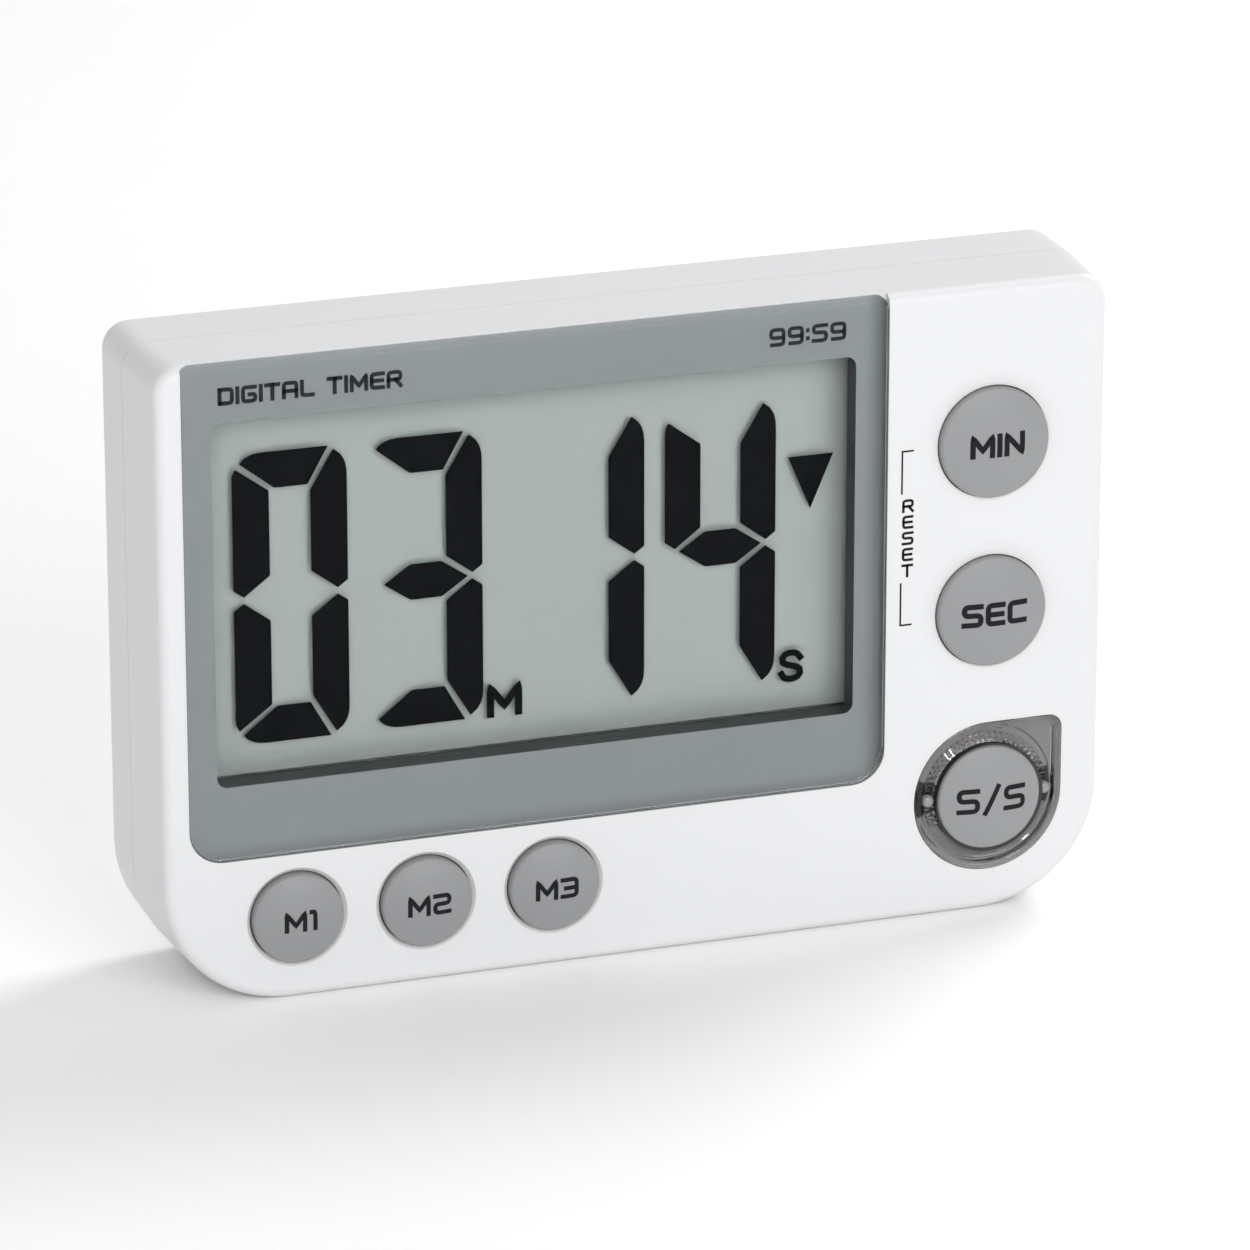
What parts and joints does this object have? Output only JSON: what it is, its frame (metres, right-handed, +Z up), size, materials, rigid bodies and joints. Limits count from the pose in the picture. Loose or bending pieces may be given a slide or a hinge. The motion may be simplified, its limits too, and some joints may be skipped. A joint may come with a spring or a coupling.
{
  "type": "lab timer",
  "caption": "Countdown timer with a large digital display, round push keys, a tear-shaped alarm lens and a folding stand, standing on its flat base.",
  "frame": {"origin": "middle of the flat base the timer stands on, half way between the case's front and back faces", "axes": "+Z up, +Y towards the back, so the display faces -Y; +X to the right as seen by a reader"},
  "size_m": [0.111, 0.0211, 0.074],
  "materials": {
    "white_case": "fine satin moulded",
    "grey_key": "satin",
    "clear_window": "clear polished acrylic",
    "grey_print": "printed film",
    "black_plastic": "satin moulded",
    "display_glass": "polished",
    "display_ink": "opaque",
    "reflector": "grey-green reflective film",
    "contact_rubber": "soft striped",
    "board_green": "solder mask",
    "epoxy_black": "potted",
    "steel": "bright",
    "nickel": "nickel plated",
    "capacitor_tan": "ceramic body",
    "lamp_clear": "clear epoxy",
    "smoke_lens": "smoke tinted, polished",
    "cell_sleeve": "printed sleeve",
    "magnet": "nickel plated, ground",
    "brass_disc": "rolled sheet"
  },
  "bodies": {
    "housing": {"front_case": "white_case", "rear_case": "white_case", "display_window": "clear_window", "window_border": "grey_print", "display_bezel": "black_plastic", "display_front_glass": "display_glass", "display_rear_glass": "display_glass", "display_segments": "display_ink", "display_reflector": "reflector", "contact_strips": "contact_rubber", "circuit_board": "board_green", "key_switches": "steel", "controller_blob": "epoxy_black", "timing_crystal": "nickel", "board_capacitors": "capacitor_tan", "alarm_lamps": "lamp_clear", "alarm_lens": "smoke_lens", "upper_cell": "cell_sleeve", "lower_cell": "cell_sleeve", "battery_plates": "nickel", "battery_springs": "nickel", "rear_magnets": "magnet", "buzzer_disc": "brass_disc", "mode_switch": "black_plastic", "case_screws": "steel", "board_screws": "steel"},
    "stand": {"stand": "white_case"},
    "battery_door": {"battery_door": "white_case"},
    "mode_knob": {"mode_knob": "black_plastic"},
    "minute_key": {"minute_key": "grey_key", "minute_plunger": "black_plastic"},
    "second_key": {"second_key": "grey_key", "second_plunger": "black_plastic"},
    "start_key": {"start_key": "grey_key", "start_plunger": "black_plastic"},
    "memory_1_key": {"memory_1_key": "grey_key", "memory_1_plunger": "black_plastic"},
    "memory_2_key": {"memory_2_key": "grey_key", "memory_2_plunger": "black_plastic"},
    "memory_3_key": {"memory_3_key": "grey_key", "memory_3_plunger": "black_plastic"}
  },
  "joints": [
    {"name": "minute_press", "type": "slide", "parent": "housing", "child": "minute_key", "axis": [0, 1, 0], "range_m": [0, 0.0005], "stiffness_N_per_m": 1200, "springref_m": -0.0005},
    {"name": "second_press", "type": "slide", "parent": "housing", "child": "second_key", "axis": [0, 1, 0], "range_m": [0, 0.0005], "stiffness_N_per_m": 1200, "springref_m": -0.0005},
    {"name": "start_press", "type": "slide", "parent": "housing", "child": "start_key", "axis": [0, 1, 0], "range_m": [0, 0.0005], "stiffness_N_per_m": 1200, "springref_m": -0.0005},
    {"name": "memory_1_press", "type": "slide", "parent": "housing", "child": "memory_1_key", "axis": [0, 1, 0], "range_m": [0, 0.0005], "stiffness_N_per_m": 1200, "springref_m": -0.0005},
    {"name": "memory_2_press", "type": "slide", "parent": "housing", "child": "memory_2_key", "axis": [0, 1, 0], "range_m": [0, 0.0005], "stiffness_N_per_m": 1200, "springref_m": -0.0005},
    {"name": "memory_3_press", "type": "slide", "parent": "housing", "child": "memory_3_key", "axis": [0, 1, 0], "range_m": [0, 0.0005], "stiffness_N_per_m": 1200, "springref_m": -0.0005},
    {"name": "stand_fold", "type": "hinge", "parent": "housing", "child": "stand", "pos_m": [0, 0.00865, 0.06], "axis": [1, 0, 0], "range_deg": [0, 40]},
    {"name": "battery_door_tilt", "type": "hinge", "parent": "housing", "child": "battery_door", "pos_m": [0, 0.00885, 0.02625], "axis": [-1, 0, 0], "range_deg": [0, 75]},
    {"name": "mode_slide", "type": "slide", "parent": "housing", "child": "mode_knob", "axis": [1, 0, 0], "range_m": [0, 0.003]}
  ]
}
